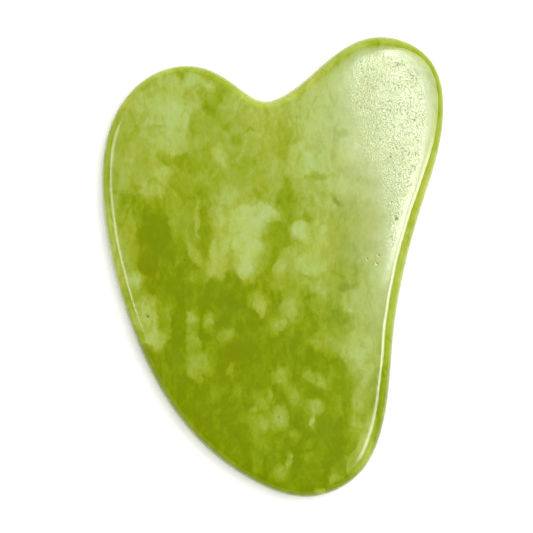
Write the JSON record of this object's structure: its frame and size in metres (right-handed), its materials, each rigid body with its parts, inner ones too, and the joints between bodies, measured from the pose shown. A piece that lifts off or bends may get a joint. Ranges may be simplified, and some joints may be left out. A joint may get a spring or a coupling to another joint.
{
  "type": "gua sha scraper",
  "caption": "Flat heart-shaped gua sha board of polished green stone, with a small lobe, a tall horn, a notch between them, a blunt tip and a round rim for gliding over skin.",
  "frame": {"origin": "centre of the board's bounding box, on the face it lies on", "axes": "+Y from the blunt tip towards the notch and the two lobes, +X towards the tall horn's side, +Z out of the upper face"},
  "size_m": [0.0594, 0.08, 0.006],
  "materials": {
    "green_stone": "satin"
  },
  "bodies": {
    "root": {"jade_board": "green_stone"}
  },
  "joints": []
}
